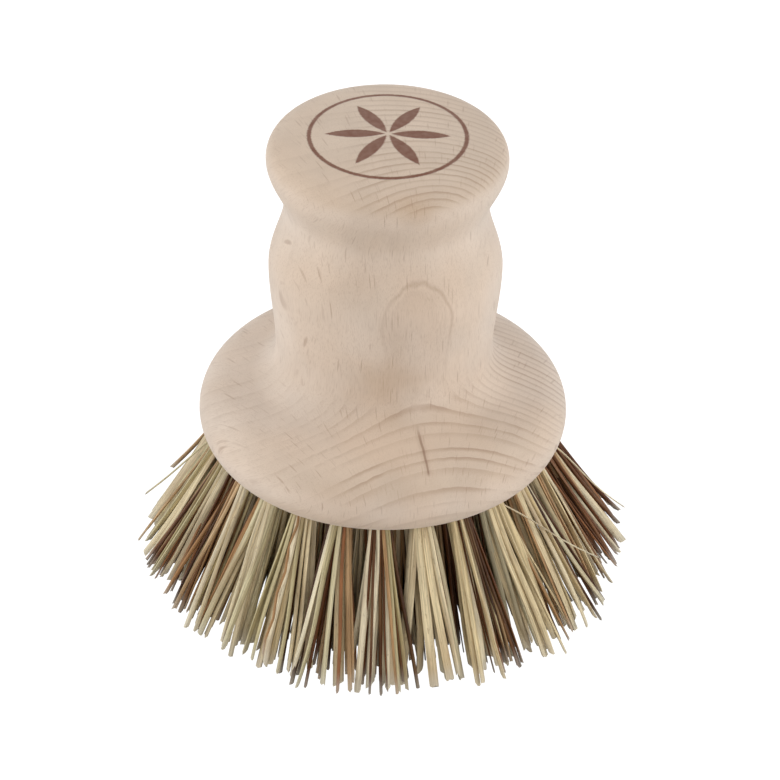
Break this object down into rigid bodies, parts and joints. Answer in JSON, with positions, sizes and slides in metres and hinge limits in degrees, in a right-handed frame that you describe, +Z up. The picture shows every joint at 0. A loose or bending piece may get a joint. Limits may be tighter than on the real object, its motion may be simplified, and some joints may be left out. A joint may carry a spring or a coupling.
{
  "type": "pot brush",
  "caption": "Round hand-held pot brush: a turned wooden block with a knob handle and a disc-shaped head, set underneath with outward-leaning tufts of stiff plant fibre.",
  "frame": {"origin": "on the ground under the middle of the block, in the plane of the lowest cut fibre ends", "axes": "+Z up along the turned block's axis from the fibre ends to the knob; -Y faces the picture's camera and +X is to its right"},
  "size_m": [0.079, 0.0798, 0.0823],
  "materials": {
    "beech": "raw turned beech, sanded and unoiled",
    "plant_fibre": "mixed pale and dark stiff plant fibres, matt to satin",
    "anchor_steel": "flat galvanised wire"
  },
  "bodies": {
    "root": {"block": "beech", "tuft_1_01": "plant_fibre", "tuft_1_02": "plant_fibre", "tuft_1_03": "plant_fibre", "tuft_1_04": "plant_fibre", "tuft_1_05": "plant_fibre", "tuft_1_06": "plant_fibre", "tuft_1_07": "plant_fibre", "tuft_1_08": "plant_fibre", "tuft_1_09": "plant_fibre", "tuft_1_10": "plant_fibre", "tuft_1_11": "plant_fibre", "tuft_1_12": "plant_fibre", "tuft_1_13": "plant_fibre", "tuft_1_14": "plant_fibre", "tuft_1_15": "plant_fibre", "tuft_1_16": "plant_fibre", "tuft_1_17": "plant_fibre", "tuft_1_18": "plant_fibre", "tuft_1_19": "plant_fibre", "tuft_1_20": "plant_fibre", "tuft_1_21": "plant_fibre", "tuft_1_22": "plant_fibre", "tuft_1_23": "plant_fibre", "tuft_1_24": "plant_fibre", "tuft_2_01": "plant_fibre", "tuft_2_02": "plant_fibre", "tuft_2_03": "plant_fibre", "tuft_2_04": "plant_fibre", "tuft_2_05": "plant_fibre", "tuft_2_06": "plant_fibre", "tuft_2_07": "plant_fibre", "tuft_2_08": "plant_fibre", "tuft_2_09": "plant_fibre", "tuft_2_10": "plant_fibre", "tuft_2_11": "plant_fibre", "tuft_2_12": "plant_fibre", "tuft_2_13": "plant_fibre", "tuft_2_14": "plant_fibre", "tuft_2_15": "plant_fibre", "tuft_2_16": "plant_fibre", "tuft_2_17": "plant_fibre", "tuft_3_01": "plant_fibre", "tuft_3_02": "plant_fibre", "tuft_3_03": "plant_fibre", "tuft_3_04": "plant_fibre", "tuft_3_05": "plant_fibre", "tuft_3_06": "plant_fibre", "tuft_3_07": "plant_fibre", "tuft_3_08": "plant_fibre", "tuft_3_09": "plant_fibre", "tuft_3_10": "plant_fibre", "tuft_4_01": "plant_fibre", "tuft_4_02": "plant_fibre", "tuft_4_03": "plant_fibre", "tuft_4_04": "plant_fibre"}
  },
  "joints": []
}
